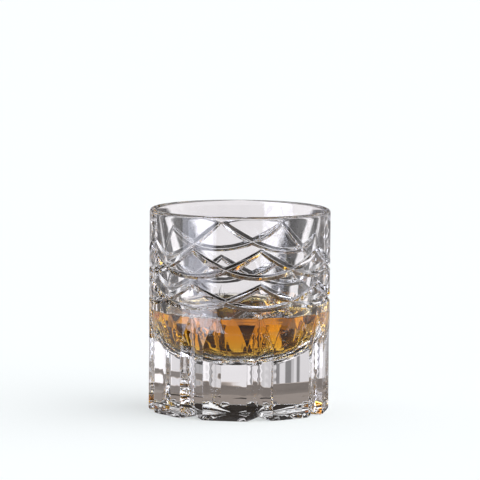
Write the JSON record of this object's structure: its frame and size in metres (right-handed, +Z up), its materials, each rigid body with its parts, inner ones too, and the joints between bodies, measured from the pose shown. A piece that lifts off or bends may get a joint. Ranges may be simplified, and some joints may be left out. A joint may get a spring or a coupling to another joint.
{
  "type": "whiskey tumbler",
  "caption": "Straight-sided cut-crystal old-fashioned tumbler with interlaced scallop cuts, flat panels, flutes and a star-cut foot, holding a short pour of whiskey.",
  "frame": {"origin": "centre of the plane that the foot rests on", "axes": "+Z up along the axis of the tumbler; -Y points at a pair of scallop tips above a flute"},
  "size_m": [0.085, 0.085, 0.095],
  "materials": {
    "crystal": "polished cut crystal, colourless",
    "whiskey": "clear amber liquid"
  },
  "bodies": {
    "root": {"tumbler_glass": "crystal", "whiskey": "whiskey"}
  },
  "joints": []
}
